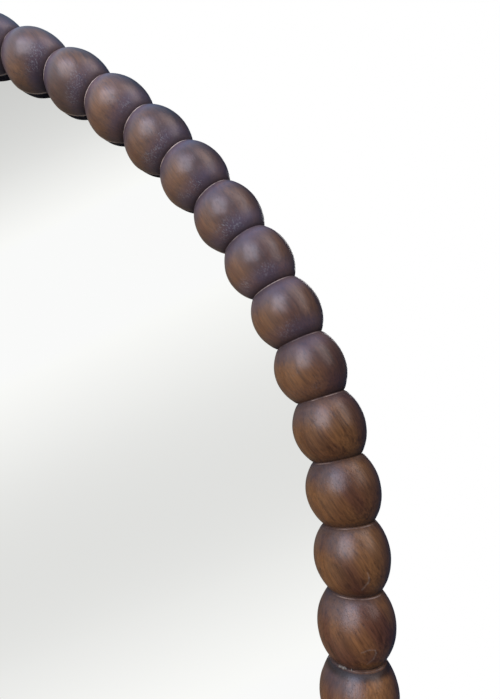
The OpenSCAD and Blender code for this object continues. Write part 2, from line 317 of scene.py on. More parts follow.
centre = Matrix.Translation((0, 0, spring_z))
one_turn = centre @ Matrix.Rotation(-turn, 4, "Y") @ centre.inverted()
first_place = (centre @ Matrix.Rotation(-turn / 2, 4, "Y")
               @ Matrix.Translation((arch_r * math.cos(turn / 2), bead_y, 0)))
arch_row = row("arch_row", wedge, ARCH_BEADS + 1, first_place, about=one_turn)
spring_row = row("spring_row", bead, 2, moved(arch_r, spring_z - leg_pitch / 2, leg_pitch),
                 offset=(0, 0, -leg_pitch))
arch_row = joined([arch_row, spring_row], "arch_row")
leg_row = row("leg_row", bead, LEG_BEADS + 1, moved(arch_r, seam_z + leg_pitch / 2, leg_pitch),
              offset=(0, 0, -leg_pitch))
along_x = (Matrix.Translation((-arch_r, bead_y, corner_z))
           @ Matrix.Rotation(math.pi / 2, 4, "Y")
           @ Matrix.Diagonal((1, 1, rail_pitch / arch_pitch, 1)))
rail_row = row("rail_row", bead, RAIL_BEADS + 1, along_x, offset=(rail_pitch, 0, 0))
for chain in (arch_row, leg_row, rail_row):
    print(chain.name, "faces", len(chain.data.polygons), "open edges", open_edges(chain))
drop(bead)
drop(wedge)

# %% [markdown]
# ## The rim
# Behind the beads runs a plain rim whose inner step is the rebate for the pane. It is a ring with
# straight sides: two outlines bridged to a band and thickened.

# %% Outlines
def outline(name, inset, corner_r, y, steps=144):
    """The closed outline of a sheet that lies inside the chain's centre line by the inset."""
    r, end = arch_r - inset, corner_z + inset
    bpy.ops.mesh.primitive_circle_add(vertices=2 * steps, radius=r, rotation=(math.pi / 2, 0, 0),
                                      location=(0, y, spring_z))
    ring = bpy.context.object
    ring.name = name
    bpy.ops.object.transform_apply()
    edit(ring)
    pick(ring, lambda p: p.z < spring_z - 1e-5)
    bpy.ops.mesh.delete(type="VERT")
    for side in (1, -1):
        pick(ring, lambda p: abs(p.x - side * r) < 1e-6 and abs(p.z - spring_z) < 1e-5)
        bpy.ops.mesh.extrude_region_move(
            TRANSFORM_OT_translate={"value": (0, 0, end + corner_r - spring_z)})
        bpy.ops.mesh.spin(steps=8, angle=side * math.pi / 2, axis=(0, 1, 0),
                          center=(side * (r - corner_r), y, end + corner_r))
    pick(ring, lambda p: abs(p.z - end) < 1e-6)
    bpy.ops.mesh.edge_face_add()
    done()
    return ring


NECK_FLAT = math.sqrt(NECK_R ** 2 - FLAT ** 2)
RIM_INSET, GLASS_LAP, GLASS_ROOM = 1.5 * MM, 5 * MM, 0.8 * MM
OUTER_CORNER_R, REBATE_CORNER_R = 4 * MM, 8.8 * MM
rim_rear_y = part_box("back_panel")[0].y
rim_outer = outline("rim_outer", RIM_INSET - NECK_FLAT, OUTER_CORNER_R, rim_rear_y)
rim_inner = outline("rim_inner", NECK_FLAT - GLASS_LAP - GLASS_ROOM, REBATE_CORNER_R, rim_rear_y)
rim = joined([rim_outer, rim_inner], "rim", weld=1e-6)
edit(rim)
bpy.ops.mesh.select_all(action="SELECT")
bpy.ops.mesh.bridge_edge_loops()
bpy.ops.mesh.extrude_region_move(
    TRANSFORM_OT_translate={"value": (0, flat_y - 2 * MM - rim_rear_y, 0)})
outward()
done()
print("rim faces", len(rim.data.polygons), "open edges", open_edges(rim))

# %% [markdown]
# ## The five segments of wood
# Each segment is its row of beads on its stretch of rim, sawn off at its joints and drilled for
# the dowels. First the rows lose their machine-made evenness: a soft noise pushes the round
# surfaces in by up to half a millimetre, so that every bead catches the light its own way.

# %% Hand-made unevenness
BROAD_DENTS, FINE_DENTS = (26 * MM, 0.5 * MM), (7 * MM, 0.12 * MM)  # size and depth


def hand_worked(chain, seed):
    """Moves the chain by the seed through the texture, so that no two segments are alike."""
    group = chain.vertex_groups.new(name="round")
    group.add([v.index for v in chain.data.vertices if v.co.y < flat_y - 0.6 * MM], 1, "REPLACE")
    for size, depth in (BROAD_DENTS, FINE_DENTS):
        unevenness = bpy.data.textures.new("unevenness", "CLOUDS")
        unevenness.noise_scale = size
        unevenness.noise_depth = 1
        chain.data.transform(Matrix.Translation((seed, 0, 0)))
        finish_modifier(chain, "DISPLACE", texture=unevenness, texture_coords="LOCAL",
                        strength=depth, mid_level=0.75, vertex_group="round")
        chain.data.transform(Matrix.Translation((-seed, 0, 0)))
        bpy.data.textures.remove(unevenness)


# %% Sawing, joining and drilling
flip = Matrix.Diagonal((-1, 1, 1, 1))
DOWEL_Y = bead_y - 2 * MM
DRILL_R, DRILL_ROOM = 4.05 * MM, 2 * MM
DOWEL, CORNER_DOWEL = 38 * MM, 24 * MM
apex = (Matrix.Translation((0, DOWEL_Y, spring_z + arch_r))
        @ Matrix.Rotation(math.pi / 2, 4, "Y"))
seam = Matrix.Translation((arch_r, DOWEL_Y, seam_z))
corner = (Matrix.Translation((arch_r, DOWEL_Y, corner_z))
          @ Matrix.Rotation(math.pi / 4, 4, "Y"))
mitre = Vector((1, 0, 1)).normalized()


def hole(place, length):
    """A drill for a dowel of this length, with a little room at its ends."""
    bpy.ops.mesh.primitive_cylinder_add(vertices=32, radius=DRILL_R, depth=length + DRILL_ROOM)
    drill = bpy.context.object
    drill.data.transform(place)
    return drill


def segment(name, chain, seed, saws, holes):
    """saws are (point, normal) of what is sawn off, and holes are (place, dowel length)."""
    wood = copy_of(chain, name)
    hand_worked(wood, seed)
    back = copy_of(rim, "back")
    for piece in (wood, back):
        edit(piece)
        for place, normal in saws:
            cut(place, normal)
        outward()
        done()
    for other, step in ((back, "UNION"), *((hole(*h), "DIFFERENCE") for h in holes)):
        finish_modifier(wood, "BOOLEAN", object=other, operation=step, solver="MANIFOLD")
        drop(other)
    return wood


# %% Arch, leg and rail
segments = {
    "arch": segment("arch_wood", arch_row, 0.0, [
        ((0, 0, seam_z + GAP / 2), (0, 0, -1)), ((GAP / 2, 0, 0), (-1, 0, 0))],
        [(apex, DOWEL), (seam, DOWEL)]),
    "leg": segment("leg_wood", leg_row, 1.7, [
        ((0, 0, seam_z - GAP / 2), (0, 0, 1)),
        (Vector((arch_r, 0, corner_z)) + mitre * GAP / 2, -mitre),
        ((0, 0, 0), (-1, 0, 0))],
        [(seam, DOWEL), (corner, CORNER_DOWEL)]),
    "rail": segment("rail_wood", rail_row, 3.1, [
        (Vector((arch_r, 0, corner_z)) - mitre * GAP / 2, mitre),
        (Vector((-arch_r, 0, corner_z)) + Vector((mitre.z, 0, -mitre.x)) * GAP / 2,
         Vector((-mitre.x, 0, mitre.z)))],
        [(corner, CORNER_DOWEL), (flip @ corner, CORNER_DOWEL)]),
}
drop(rim)
for row_piece in (arch_row, leg_row, rail_row):
    drop(row_piece)
for wood in segments.values():
    print(wood.name, "faces", len(wood.data.polygons), "open edges", open_edges(wood))

# %% [markdown]
# A real arch is glued up from a left and a right half, cut to the same pattern. The left half and
# the left leg are therefore mirrored copies, each with a mesh of its own. The wood replaces the
# plain solids, which stay behind it for the physics, and its sharp edges stay sharp in the
# shading.

# %% Left and right
woods = {
    "arch_right": segments["arch"],
    "arch_left": copy_of(segments["arch"], "arch_left_wood", flip),
    "leg_right": segments["leg"],
    "leg_left": copy_of(segments["leg"], "leg_left_wood", flip),
    "bottom_rail": segments["rail"],
}
for node, wood in woods.items():
    wood.name = wood.data.name = node + "_wood"
    bpy.ops.object.select_all(action="DESELECT")
    bpy.context.view_layer.objects.active = wood
    wood.select_set(True)
    bpy.ops.object.shade_smooth_by_angle(angle=math.radians(38))
    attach(wood, "frame")
    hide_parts(node)
    print(wood.name, "replaces", node)

# %% [markdown]
# ## Dried glue
# Where the arch is glued to the leg a little glue was squeezed out of the seam and dried in the
# groove. Each crumb starts as a cube whose corners are smoothed and shaken, and the crumbs sit
# close together on the front of the neck.

# %% Dried glue in the seam
CRUMB, CRUMB_R = 1.3 * MM, 13.55 * MM  # size, and how far from the axis
CRUMBS = ((226, 1.1), (231, 0.8), (235, 1.2), (239, 0.7), (251, 0.6))  # degrees and size
bpy.ops.mesh.primitive_cube_add(size=CRUMB)
crumb = bpy.context.object
edit(crumb)
bpy.ops.mesh.select_all(action="SELECT")
bpy.ops.mesh.subdivide(number_cuts=3, smoothness=1.0)
bpy.ops.transform.vertex_random(offset=0.12 * MM, uniform=0.5, normal=0.0, seed=5)
bpy.ops.transform.resize(value=(1.0, 0.8, 0.55))
done()
finish_modifier(crumb, "SUBSURF", levels=1, render_levels=1)
crumbs = []
for step, (degrees, size) in enumerate(CRUMBS):
    place = (Matrix.Translation((arch_r, bead_y, seam_z - 0.15 * MM))
             @ Matrix.Rotation(math.radians(degrees), 4, "Z")
             @ Matrix.Translation((CRUMB_R, 0, 0))
             @ Matrix.Rotation(step * 1.9, 4, "X")
             @ Matrix.Scale(size, 4))
    crumbs.append(copy_of(crumb, "crumb", place))
drop(crumb)
glue_right = joined(crumbs, "glue_right")
glue_left = copy_of(glue_right, "glue_left", flip)
for glue in (glue_right, glue_left):
    bpy.ops.object.select_all(action="DESELECT")
    bpy.context.view_layer.objects.active = glue
    glue.select_set(True)
    bpy.ops.object.shade_smooth()
    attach(glue, "frame")
    print(glue.name, "faces", len(glue.data.polygons))

# %% [markdown]
# ## Marks for the finish
# The finish follows the beads: it gathers in the necks and rubs off on the ridges, and the painted
# shade and highlights follow the beads too. So each corner of each face stores how far along its
# own bead it lies, from -1 at the lower neck to 1 at the upper one, and how far across, from -1 on
# the side of the pane to 1 on the outer side. Each face stores a number of its own bead.

# %% Place along the bead
def mark_beads(wood, kind):
    mesh = wood.data
    points = np.empty(len(mesh.vertices) * 3)
    mesh.vertices.foreach_get("co", points)
    points = points.reshape(-1, 3)
    middles = np.empty(len(mesh.polygons) * 3)
    mesh.polygons.foreach_get("center", middles)
    middles = middles.reshape(-1, 3)
    corners = np.empty(len(mesh.loops), int)
    mesh.loops.foreach_get("vertex_index", corners)
    totals = np.empty(len(mesh.polygons), int)
    mesh.polygons.foreach_get("loop_total", totals)

    def steps(p):
        if kind == "bottom_rail":
            return p[:, 0] / rail_pitch + 0.5
        on_arch = np.arctan2(p[:, 2] - spring_z, abs(p[:, 0])) / turn
        on_leg = (p[:, 2] - spring_z) / leg_pitch
        return np.where(p[:, 2] > spring_z, on_arch, on_leg)

    own = np.floor(steps(middles))
    along = (steps(points)[corners] - np.repeat(own, totals) - 0.5) * 2
    mesh.attributes.new("along", "FLOAT", "CORNER").data.foreach_set(
        "value", along.astype(np.float32))
    if kind == "bottom_rail":
        outward_by = corner_z - points[:, 2]
    else:
        outward_by = np.hypot(points[:, 0], np.maximum(points[:, 2] - spring_z, 0)) - arch_r
    mesh.attributes.new("across", "FLOAT", "CORNER").data.foreach_set(
        "value", (outward_by[corners] / BEAD_R).astype(np.float32))
    number = np.modf(np.abs(np.sin(own * 12.9898 + len(kind) * 15.67)) * 437.58)[0]
    mesh.attributes.new("bead_number", "FLOAT", "FACE").data.foreach_set(
        "value", number.astype(np.float32))


for node, wood in woods.items():
    mark_beads(wood, node)
    print(node, "marked")

# %% [markdown]
# ## Helpers for finishes
# A finish is a net of nodes: textures give numbers, and the numbers choose between colours. In
# the node editor each step is one node with its wires. These helpers add a node, set its plain
# values and draw its wires, so that a finish reads as a list of what happened to the real
# surface.

# %% Helpers that add a node
def wire(tree, value, socket):
    """Links what comes from another node, and sets what is a plain value."""
    if isinstance(value, bpy.types.NodeSocket):
        tree.links.new(value, socket)
    elif socket.type == "RGBA":
        socket.default_value = (*value, 1)
    else:
        socket.default_value = value


def add(tree, kind, **settings):
    """Adds a node and sets its properties, and its inputs by their name or as in_ and a number."""
    node = tree.nodes.new(kind)
    for key, value in settings.items():
        if hasattr(node, key):
            setattr(node, key, value)
        elif key.startswith("in_"):
            wire(tree, value, node.inputs[int(key[3:])])
        else:
            wire(tree, value, node.inputs[key.replace("_", " ")])
    return node


def group_of(name, inputs, outputs):
    """An empty group of nodes: inputs are (name, kind, value), and outputs are (name, kind)."""
    tree = bpy.data.node_groups.new(name, "ShaderNodeTree")
    for label, kind, value in inputs:
        socket = tree.interface.new_socket(label, in_out="INPUT", socket_type="NodeSocket" + kind)
        if value is not None:
            socket.default_value = value
    for label, kind in outputs:
        tree.interface.new_socket(label, in_out="OUTPUT", socket_type="NodeSocket" + kind)
    return tree, add(tree, "NodeGroupInput").outputs, add(tree, "NodeGroupOutput").inputs


# %% Helpers for numbers and colours
def math_node(tree, operation, a, b=0.5, clamp=False):
    return add(tree, "ShaderNodeMath", operation=operation, use_clamp=clamp,
               in_0=a, in_1=b).outputs[0]


def times(tree, *values):
    product = values[0]
    for value in values[1:]:
        product = math_node(tree, "MULTIPLY", product, value)
    return product


def mix_colours(tree, share, a, b, blend="MIX"):
    return add(tree, "ShaderNodeMix", data_type="RGBA", blend_type=blend,
               in_0=share, in_6=a, in_7=b).outputs[2]


def between(tree, value, low, high, to_low=0.0, to_high=1.0, smooth=True):
    """Goes from to_low to to_high while the value goes from low to high."""
    return add(tree, "ShaderNodeMapRange",
               interpolation_type="SMOOTHSTEP" if smooth else "LINEAR",
               in_0=value, in_1=low, in_2=high, in_3=to_low, in_4=to_high).outputs[0]


def noise(tree, place, scale, detail=2.0, roughness=0.5):
    return add(tree, "ShaderNodeTexNoise", Vector=place, Scale=scale, Detail=detail,
               Roughness=roughness).outputs[0]


def stretched(tree, place, scale):
    return add(tree, "ShaderNodeMapping", vector_type="POINT", Vector=place,
               Scale=scale).outputs[0]


def vector_node(tree, operation, a, b, c=(0, 0, 0)):
    return add(tree, "ShaderNodeVectorMath", operation=operation, in_0=a, in_1=b, in_2=c).outputs


# %% Helpers for a whole finish
def new_finish(name, **plain):
    material = bpy.data.materials.new(name)
    material.use_nodes = True
    tree = material.node_tree
    shader = tree.nodes["Principled BSDF"]
    for key, value in plain.items():
        wire(tree, value, shader.inputs[key.replace("_", " ")])
    return material, tree, shader


def place_node(tree):
    return add(tree, "ShaderNodeTexCoord").outputs["Object"]


def bump(tree, shader, height, distance, strength):
    node = add(tree, "ShaderNodeBump", Height=height, Distance=distance, Strength=strength)
    tree.links.new(node.outputs[0], shader.inputs["Normal"])


def paint(material, *pieces):
    for piece in pieces:
        piece.data.materials.clear()
        piece.data.materials.append(material)
    print(material.name, "on", ", ".join(piece.name for piece in pieces))


# %% [markdown]
# ## Walnut
# Grain is a solid that the beads are cut from, so it runs straight through a whole segment, along
# the board that it was sawn from. Noise stretched along the board gives broad bands, fine streaks
# and pores. The group takes the place in the board, turned so that Z runs along the grain, and
# the number of the bead, because stain takes a little differently on each one.

# %% Grain group
DARK_WOOD, WOOD, PALE_WOOD = (0.037, 0.012, 0.005), (0.096, 0.035, 0.0165), (0.206, 0.087, 0.027)
PORE = (0.012, 0.006, 0.004)
grain, given, out = group_of("board_grain", [("Board", "Vector", None), ("Bead", "Float", 0.5)],
                             [("Color", "Color"), ("Height", "Float")])
warp = noise(grain, given["Board"], 25.0, detail=1.0)
bent = vector_node(grain, "MULTIPLY_ADD", warp, (0.006, 0.006, 0), given["Board"])[0]
bands = noise(grain, stretched(grain, bent, (1, 1, 0.1)), 52.0, detail=3.0)
streaks = noise(grain, stretched(grain, bent, (1, 1, 0.05)), 420.0, detail=4.0, roughness=0.65)
pores = noise(grain, stretched(grain, bent, (1, 1, 0.09)), 1900.0, detail=1.0)
pores = between(grain, pores, 0.6, 0.7)
colour = mix_colours(grain, between(grain, bands, 0.36, 0.62), WOOD, PALE_WOOD)
colour = mix_colours(grain, between(grain, streaks, 0.48, 0.74, 0.0, 0.7), colour, DARK_WOOD)
colour = mix_colours(grain, times(grain, pores, 0.3), colour, PORE)
fibres = noise(grain, stretched(grain, given["Board"], (1, 1, 0.06)), 1000.0)
tone = times(grain, between(grain, given["Bead"], 0.0, 1.0, 0.86, 1.16, smooth=False),
             between(grain, fibres, 0.3, 0.7, 0.8, 1.2))
colour = add(grain, "ShaderNodeHueSaturation", Color=colour, Value=tone).outputs[0]
wire(grain, colour, out["Color"])
relief = math_node(grain, "ADD", times(grain, streaks, 0.6), times(grain, pores, -0.5))
wire(grain, relief, out["Height"])
print("the grain has", len(grain.nodes), "nodes")

# %% [markdown]
# ## Dust, wax and painted light
# Painted shade darkens each bead towards its sides and back, and on its outer side. Wax and
# painted shade darken the necks, a bluish grey lies in patches on the upper part of each bead next
# to the pane, and a painted shadow under the seam is nearly black. High on the arch a painted haze
# of pale light lies over the wood, golden in the middle of each bead and violet near its necks,
# with dusty specks above each lower neck. All of it follows the bead, so the group is given the
# two marks made above. It covers the wood in layers.

# %% Places on a bead
HIGH_FROM, HIGH_TO = 0.13, 0.25


def axes_of(tree, place):
    return add(tree, "ShaderNodeSeparateXYZ", Vector=place).outputs


def front_of(tree, axes):
    """1 on the front of the beads, and 0 from their sides to the back."""
    return between(tree, axes["Y"], bead_y - 11 * MM, bead_y - 5 * MM, 1.0, 0.0)


def high_of(tree, axes):
    """1 on the beads high on the arch, and 0 on the lower ones."""
    return between(tree, axes["Z"], HIGH_FROM, HIGH_TO)


def above_seam_of(tree, axes):
    return math_node(tree, "SUBTRACT", axes["Z"], seam_z)


# %% Dust, wax and painted light group
# the first two colours are a painted haze of pale light over the high beads, golden and violet
GOLDEN_PAINTED_LIGHT, VIOLET_PAINTED_LIGHT = (0.21, 0.162, 0.152), (0.18, 0.15, 0.2)
# painted shade: the first darkens each bead towards its sides and back, the second its outer side
SIDE_PAINTED_SHADE, OUTER_PAINTED_SHADE = (0.024, 0.011, 0.013), (0.018, 0.011, 0.017)
# wax gathered in the necks, with painted shade in them
NECK_WAX_AND_SHADE = (0.026, 0.0115, 0.008)
# a bluish grey for the upper inner part of each bead, a painted shadow under the seam, and pale
# dust
UPPER_INNER_GREY, SEAM_PAINTED_SHADE, SPECK = (0.05, 0.044, 0.058), (0.012, 0.007, 0.006), (0.36, 0.34, 0.34)
# this group lays dust and wax on the wood together with painted shade and painted light
dust_and_shade, given, out = group_of(
    "dust_wax_and_painted_light",
    [("Color", "Color", None), ("Place", "Vector", None), ("Board", "Vector", None),
     ("Along", "Float", 0.0), ("Across", "Float", 0.0)],
    [("Color", "Color"), ("Roughness", "Float")])
place, along, across = given["Place"], given["Along"], given["Across"]
axes = axes_of(dust_and_shade, place)
high = high_of(dust_and_shade, axes)
neck = math_node(dust_and_shade, "ABSOLUTE", along)
patches = noise(dust_and_shade, place, 48.0, detail=3.0)
# painted light: a pale haze over the high beads, stronger near the necks and broken into patches,
# golden in the middle of each bead and violet near its necks
painted_light_haze = times(dust_and_shade, high, between(dust_and_shade, neck, 0.15, 0.8, 0.24, 0.55),
             between(dust_and_shade, patches, 0.35, 0.65, 1.15, 0.8))
painted_light_colour = mix_colours(dust_and_shade, between(dust_and_shade, neck, 0.25, 0.75), GOLDEN_PAINTED_LIGHT, VIOLET_PAINTED_LIGHT)
# painted shade: each bead darker towards its sides and back
side_painted_shade = between(dust_and_shade, axes["Y"], bead_y - 9 * MM, bead_y + MM, 0.0, 0.4)
# painted shade: the outer side of each bead, turned away from the big window
outer_painted_shade = between(dust_and_shade, across, 0.4, 0.95, 0.0, 0.6)
# wax and painted shade in the necks
neck_wax_and_shade = between(dust_and_shade, neck, 0.7, 1.0, 0.0, 0.55)
# a bluish grey in patches on the upper part of each bead, on the side of the pane
upper_inner_grey = times(dust_and_shade, between(dust_and_shade, along, 0.05, 0.7), between(dust_and_shade, across, -0.6, 0.25, 1.0, 0.0),
              between(dust_and_shade, patches, 0.3, 0.6, 0.25, 0.6))
above_seam = above_seam_of(dust_and_shade, axes)
# painted shadow: the wood from about 1 to 5 mm under the seam, under the bead above, nearly black
seam_painted_shade = times(dust_and_shade, between(dust_and_shade, above_seam, -5 * MM, -2.2 * MM),
              between(dust_and_shade, above_seam, -1.3 * MM, -1.0 * MM, 1.0, 0.0), 0.8)

# %% Specks of dust, and the layers
specks = noise(dust_and_shade, stretched(dust_and_shade, given["Board"], (1, 1, 0.4)), 1500.0, detail=3.0)
specks = times(dust_and_shade, between(dust_and_shade, specks, 0.5, 0.68), front_of(dust_and_shade, axes), high,
               between(dust_and_shade, along, -0.95, -0.75), between(dust_and_shade, along, -0.65, -0.25, 1.0, 0.0),
               between(dust_and_shade, across, -0.05, 0.4, 1.0, 0.0),
               between(dust_and_shade, noise(dust_and_shade, place, 55.0, detail=1.0), 0.38, 0.55, 0.0, 0.7))
colour = given["Color"]
for share, layer in ((painted_light_haze, painted_light_colour), (side_painted_shade, SIDE_PAINTED_SHADE), (outer_painted_shade, OUTER_PAINTED_SHADE),
                     (upper_inner_grey, UPPER_INNER_GREY), (neck_wax_and_shade, NECK_WAX_AND_SHADE), (seam_painted_shade, SEAM_PAINTED_SHADE), (specks, SPECK)):
    colour = mix_colours(dust_and_shade, share, colour, layer)
wire(dust_and_shade, colour, out["Color"])
smudges = between(dust_and_shade, noise(dust_and_shade, place, 70.0, detail=3.0), 0.3, 0.7, 0.28, 0.38)
dull_neck = between(dust_and_shade, neck, 0.82, 0.95, 0.0, 0.35)
wire(dust_and_shade, math_node(dust_and_shade, "ADD", smudges, dull_neck), out["Roughness"])
print("dust and wax have", len(dust_and_shade.nodes), "nodes")

# %% [markdown]
# ## Wear and painted highlights
# A thin pale line runs along the ridge at the upper end of each bead: bare wood where the finish
# is rubbed through, with a painted highlight on it. On the sharp edge of the step the pale line is
# a painted highlight. Noise breaks the lines up. High on the arch the ridge is seen from below, so
# there the painted highlight lies on its inner side, wider and paler.

# %% Wear and painted highlight group
# colours of the pale lines: bare wood with a painted highlight, and a paler painted highlight for
# the ridges high on the arch
BARE_WOOD_AND_HIGHLIGHT, PAINTED_HIGHLIGHT_HIGH = (0.31, 0.21, 0.155), (0.58, 0.45, 0.36)
wear_and_highlight, given, out = group_of(
    "worn_and_highlit_ridges",
    [("Color", "Color", None), ("Place", "Vector", None), ("Along", "Float", 0.0),
     ("Across", "Float", 0.0), ("Low Ridge", "Float", 1.0)],
    [("Color", "Color")])
axes = axes_of(wear_and_highlight, given["Place"])
high = high_of(wear_and_highlight, axes)
top = between(wear_and_highlight, axes["Z"], 0.22, 0.34)
# painted highlight: the inner side of the ridge on the high beads
inner_painted_highlight = times(wear_and_highlight, between(wear_and_highlight, given["Across"], 0.0, 0.8, 1.0, 0.0), high,
                   between(wear_and_highlight, axes["Y"], bead_y - 6 * MM, bead_y, 1.0, 0.0))
front_line = times(wear_and_highlight, front_of(wear_and_highlight, axes), math_node(wear_and_highlight, "SUBTRACT", 1.0, high))
widened = math_node(wear_and_highlight, "ADD", given["Along"], times(wear_and_highlight, top, 0.07))
# the ridge line: rubbed bare wood on the front of the lower beads, a painted highlight on the high
# ones, wider near the top
ridge_wear_and_highlight = times(wear_and_highlight, between(wear_and_highlight, widened, 0.94, 0.96),
              between(wear_and_highlight, given["Along"], 0.968, 0.98, 1.0, 0.0),
              math_node(wear_and_highlight, "MAXIMUM", inner_painted_highlight, front_line),
              between(wear_and_highlight, above_seam_of(wear_and_highlight, axes), -1.4 * MM, MM, given["Low Ridge"], 1.0))
step = bead_y + EDGE
# painted highlight: a pale line on the sharp edge of the step, where light would catch it
arris_painted_highlight = times(wear_and_highlight, between(wear_and_highlight, axes["Y"], step - 1.3 * MM, step - 0.8 * MM),
              between(wear_and_highlight, axes["Y"], step, step + 0.25 * MM, 0.9, 0.0))
broken = math_node(wear_and_highlight, "ADD", noise(wear_and_highlight, given["Place"], 90.0, detail=4.0),
                   times(wear_and_highlight, top, 0.1))
worn_and_highlit = times(wear_and_highlight, between(wear_and_highlight, broken, 0.4, 0.66), math_node(wear_and_highlight, "MAXIMUM", ridge_wear_and_highlight, arris_painted_highlight))
# bare wood and painted highlight, paler high on the arch
bare_and_highlight = mix_colours(wear_and_highlight, high, BARE_WOOD_AND_HIGHLIGHT, PAINTED_HIGHLIGHT_HIGH)
wire(wear_and_highlight, mix_colours(wear_and_highlight, worn_and_highlit, given["Color"], bare_and_highlight), out["Color"])
print("wear has", len(wear_and_highlight.nodes), "nodes")

# %% [markdown]
# ## Scratches
# An old knock leaves a pale scratch. The group is given where a scratch starts and how far it
# reaches, and finds how far each place lies from that line, seen from the front. A noise lets the
# line wander.

# %% Scratch group
SCRATCH = (0.36, 0.27, 0.2)
WANDER = 2 * MM
scratch, given, out = group_of(
    "scratch",
    [("Color", "Color", None), ("Place", "Vector", None), ("Start", "Vector", (0, 0, 0)),
     ("Reach", "Vector", (0, 0, 0.01))],
    [("Color", "Color")])
wander = add(scratch, "ShaderNodeTexNoise", Vector=given["Place"], Scale=220.0).outputs["Color"]
away = vector_node(scratch, "SUBTRACT", given["Place"], given["Start"])[0]
away = vector_node(scratch, "MULTIPLY_ADD", wander, (WANDER, 0, WANDER), away)[0]
away = vector_node(scratch, "SUBTRACT", away, (WANDER / 2, 0, WANDER / 2))[0]
away = vector_node(scratch, "MULTIPLY", away, (1, 0, 1))[0]
run = vector_node(scratch, "DOT_PRODUCT", away, given["Reach"])["Value"]
full = vector_node(scratch, "DOT_PRODUCT", given["Reach"], given["Reach"])["Value"]
share = math_node(scratch, "DIVIDE", run, full, clamp=True)
nearest = add(scratch, "ShaderNodeVectorMath", operation="SCALE", in_0=given["Reach"], Scale=share)
off = vector_node(scratch, "DISTANCE", away, nearest.outputs[0])["Value"]
mark = times(scratch, between(scratch, off, 0.1 * MM, 0.6 * MM, 1.0, 0.0),
             front_of(scratch, axes_of(scratch, given["Place"])), 0.2)
wire(scratch, mix_colours(scratch, mark, given["Color"], SCRATCH), out["Color"])
print("a scratch has", len(scratch.nodes), "nodes")

# %% [markdown]
# ## The wood as a whole
# Each segment gets its own walnut, because its board leans its own way: 33 degrees on the arch,
# upright on the legs and level on the rail. The grain comes first, then dust, wax, painted light
# and painted shade, scratches, and wear with painted highlights. In the photograph the pane shows
# none of the beads, so the wood is clear to a ray that comes straight off the silver.

# %% Walnut finish
def clear_in_silver(tree, shader):
    seen = add(tree, "ShaderNodeLightPath").outputs["Is Singular Ray"]
    wire(tree, math_node(tree, "SUBTRACT", 1.0, seen), shader.inputs["Alpha"])


def walnut(name, lean, shift, low_ridge, scratches):
    """lean turns the board about Y, in degrees, and shift picks its place in the tree."""
    material, tree, shader = new_finish(name)
    place = place_node(tree)
    board = add(tree, "ShaderNodeMapping", vector_type="POINT", Vector=place,
                Rotation=(0, math.radians(lean), 0),
                Location=(shift, shift / 3, shift / 2)).outputs[0]
    along, across, bead_number = (
        add(tree, "ShaderNodeAttribute", attribute_name=mark).outputs["Fac"]
        for mark in ("along", "across", "bead_number"))
    wood = add(tree, "ShaderNodeGroup", node_tree=grain, Board=board, Bead=bead_number).outputs
    # dust and wax, with painted shade and painted light
    dusty_and_shaded = add(tree, "ShaderNodeGroup", node_tree=dust_and_shade, Color=wood["Color"], Place=place,
                Board=board, Along=along, Across=across).outputs
    colour = dusty_and_shaded["Color"]
    for start, reach in scratches:
        colour = add(tree, "ShaderNodeGroup", node_tree=scratch, Color=colour, Place=place,
                     Start=start, Reach=reach).outputs["Color"]
    # wear, with painted highlights on the ridges and on the step
    worn_and_highlit = add(tree, "ShaderNodeGroup", node_tree=wear_and_highlight, Color=colour, Place=place, Along=along,
               Across=across, Low_Ridge=low_ridge).outputs["Color"]
    wire(tree, worn_and_highlit, shader.inputs["Base Color"])
    wire(tree, dusty_and_shaded["Roughness"], shader.inputs["Roughness"])
    clear_in_silver(tree, shader)
    bump(tree, shader, wood["Height"], 0.12 * MM, 0.6)
    return material


# %% Walnut on the five segments
def strokes(*points):
    """Scratches from point to point, given as (x, z) in millimetres."""
    return [((x * MM, 0, z * MM), ((to_x - x) * MM, 0, (to_z - z) * MM))
            for (x, z), (to_x, to_z) in zip(points, points[1:])]


knocks = strokes((365.6, 73.6), (366.1, 71), (365.5, 68.6), (363, 65.1)) + strokes(
    (361, 37.8), (364.6, 38.5), (367.8, 38.1), (368, 36.6), (366.6, 34), (363.8, 31.1))
LEG_RIDGE = 0.45
for node, lean, shift, low_ridge, scratches in (
        ("arch_right", 33, 0.0, 1.0, knocks), ("arch_left", -33, 2.3, 1.0, ()),
        ("leg_right", 0, 4.1, LEG_RIDGE, ()), ("leg_left", 0, 6.7, LEG_RIDGE, ()),
        ("bottom_rail", 90, 8.9, 1.0, ())):
    paint(walnut("walnut_" + node, lean, shift, low_ridge, scratches), woods[node])

# %% [markdown]
# Behind the step that runs round each bead the wood was only brushed with dark stain and never
# waxed, so it has no gloss. Its dark tone is stain and painted shade, lifted a little to stand in
# for light that the silver throws back. It is the same piece of wood with a second material, given
# to the faces that lie behind the step.

# %% Stained back of the wood, with painted shade
stained_and_shaded, tree, shader = new_finish("dark_stain", Specular_IOR_Level=0.12)
brushed = noise(tree, stretched(tree, place_node(tree), (1, 1, 0.3)), 260.0, detail=4.0)
# stain and painted shade for the side walls behind the step, lifted a little for light thrown back
# by the silver
colour = mix_colours(tree, between(tree, brushed, 0.35, 0.7), (0.015, 0.014, 0.022),
                     (0.035, 0.031, 0.042))
wire(tree, colour, shader.inputs["Base Color"])
wire(tree, between(tree, brushed, 0.3, 0.7, 0.95, 0.8), shader.inputs["Roughness"])
bump(tree, shader, brushed, 0.1 * MM, 0.6)
clear_in_silver(tree, shader)
for wood in woods.values():
    wood.data.materials.append(stained_and_shaded)
    behind = [int(face.center.y > bead_y + EDGE + 0.05 * MM) for face in wood.data.polygons]
    wood.data.polygons.foreach_set("material_index", behind)
    print(wood.name, "stained faces", sum(behind))

